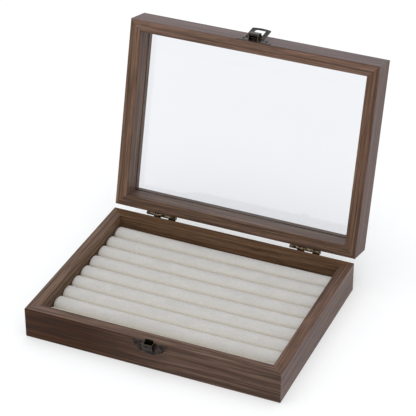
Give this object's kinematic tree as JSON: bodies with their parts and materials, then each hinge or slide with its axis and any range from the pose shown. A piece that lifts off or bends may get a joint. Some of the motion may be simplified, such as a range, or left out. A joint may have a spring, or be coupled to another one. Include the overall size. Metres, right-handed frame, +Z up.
{
  "type": "ring display case",
  "caption": "Walnut ring display case with cream ring rolls, a hinged glass lid standing open and an antique bronze ring latch.",
  "frame": {"origin": "centre of the box's underside", "axes": "+X along the width to the right, -Y towards the front with the catch, +Z up"},
  "size_m": [0.2, 0.2167, 0.1787],
  "materials": {
    "walnut": "satin",
    "panel": "matte",
    "velvet": "matte",
    "glass": "gloss",
    "antique_bronze": "satin"
  },
  "bodies": {
    "box": {"box_front": "walnut", "box_back": "walnut", "box_left": "walnut", "box_right": "walnut", "box_bottom": "panel", "insert_card": "velvet", "ring_roll_1": "velvet", "ring_roll_2": "velvet", "ring_roll_3": "velvet", "ring_roll_4": "velvet", "ring_roll_5": "velvet", "ring_roll_6": "velvet", "ring_roll_7": "velvet", "ring_roll_8": "velvet", "ring_roll_9": "velvet", "hinge_left_box_leaf": "antique_bronze", "hinge_left_pin": "antique_bronze", "hinge_right_box_leaf": "antique_bronze", "hinge_right_pin": "antique_bronze", "hinge_nails_box": "antique_bronze", "latch_catch_plate": "antique_bronze", "latch_nails_box": "antique_bronze"},
    "lid": {"lid_front": "walnut", "lid_back": "walnut", "lid_left": "walnut", "lid_right": "walnut", "lid_glass": "glass", "hinge_left_lid_leaf": "antique_bronze", "hinge_right_lid_leaf": "antique_bronze", "hinge_nails_lid": "antique_bronze", "latch_lid_plate": "antique_bronze", "latch_nails_lid": "antique_bronze"},
    "hasp": {"latch_ring": "antique_bronze"}
  },
  "joints": [
    {"name": "lid_hinge", "type": "hinge", "parent": "box", "child": "lid", "pos_m": [0, 0.0765, 0.0259], "axis": [1, 0, 0], "range_deg": [0, 104.2]},
    {"name": "ring_pivot", "type": "hinge", "parent": "lid", "child": "hasp", "pos_m": [0, 0.1174, 0.17409], "axis": [1, 0, 0], "range_deg": [-20, 164.6]}
  ]
}
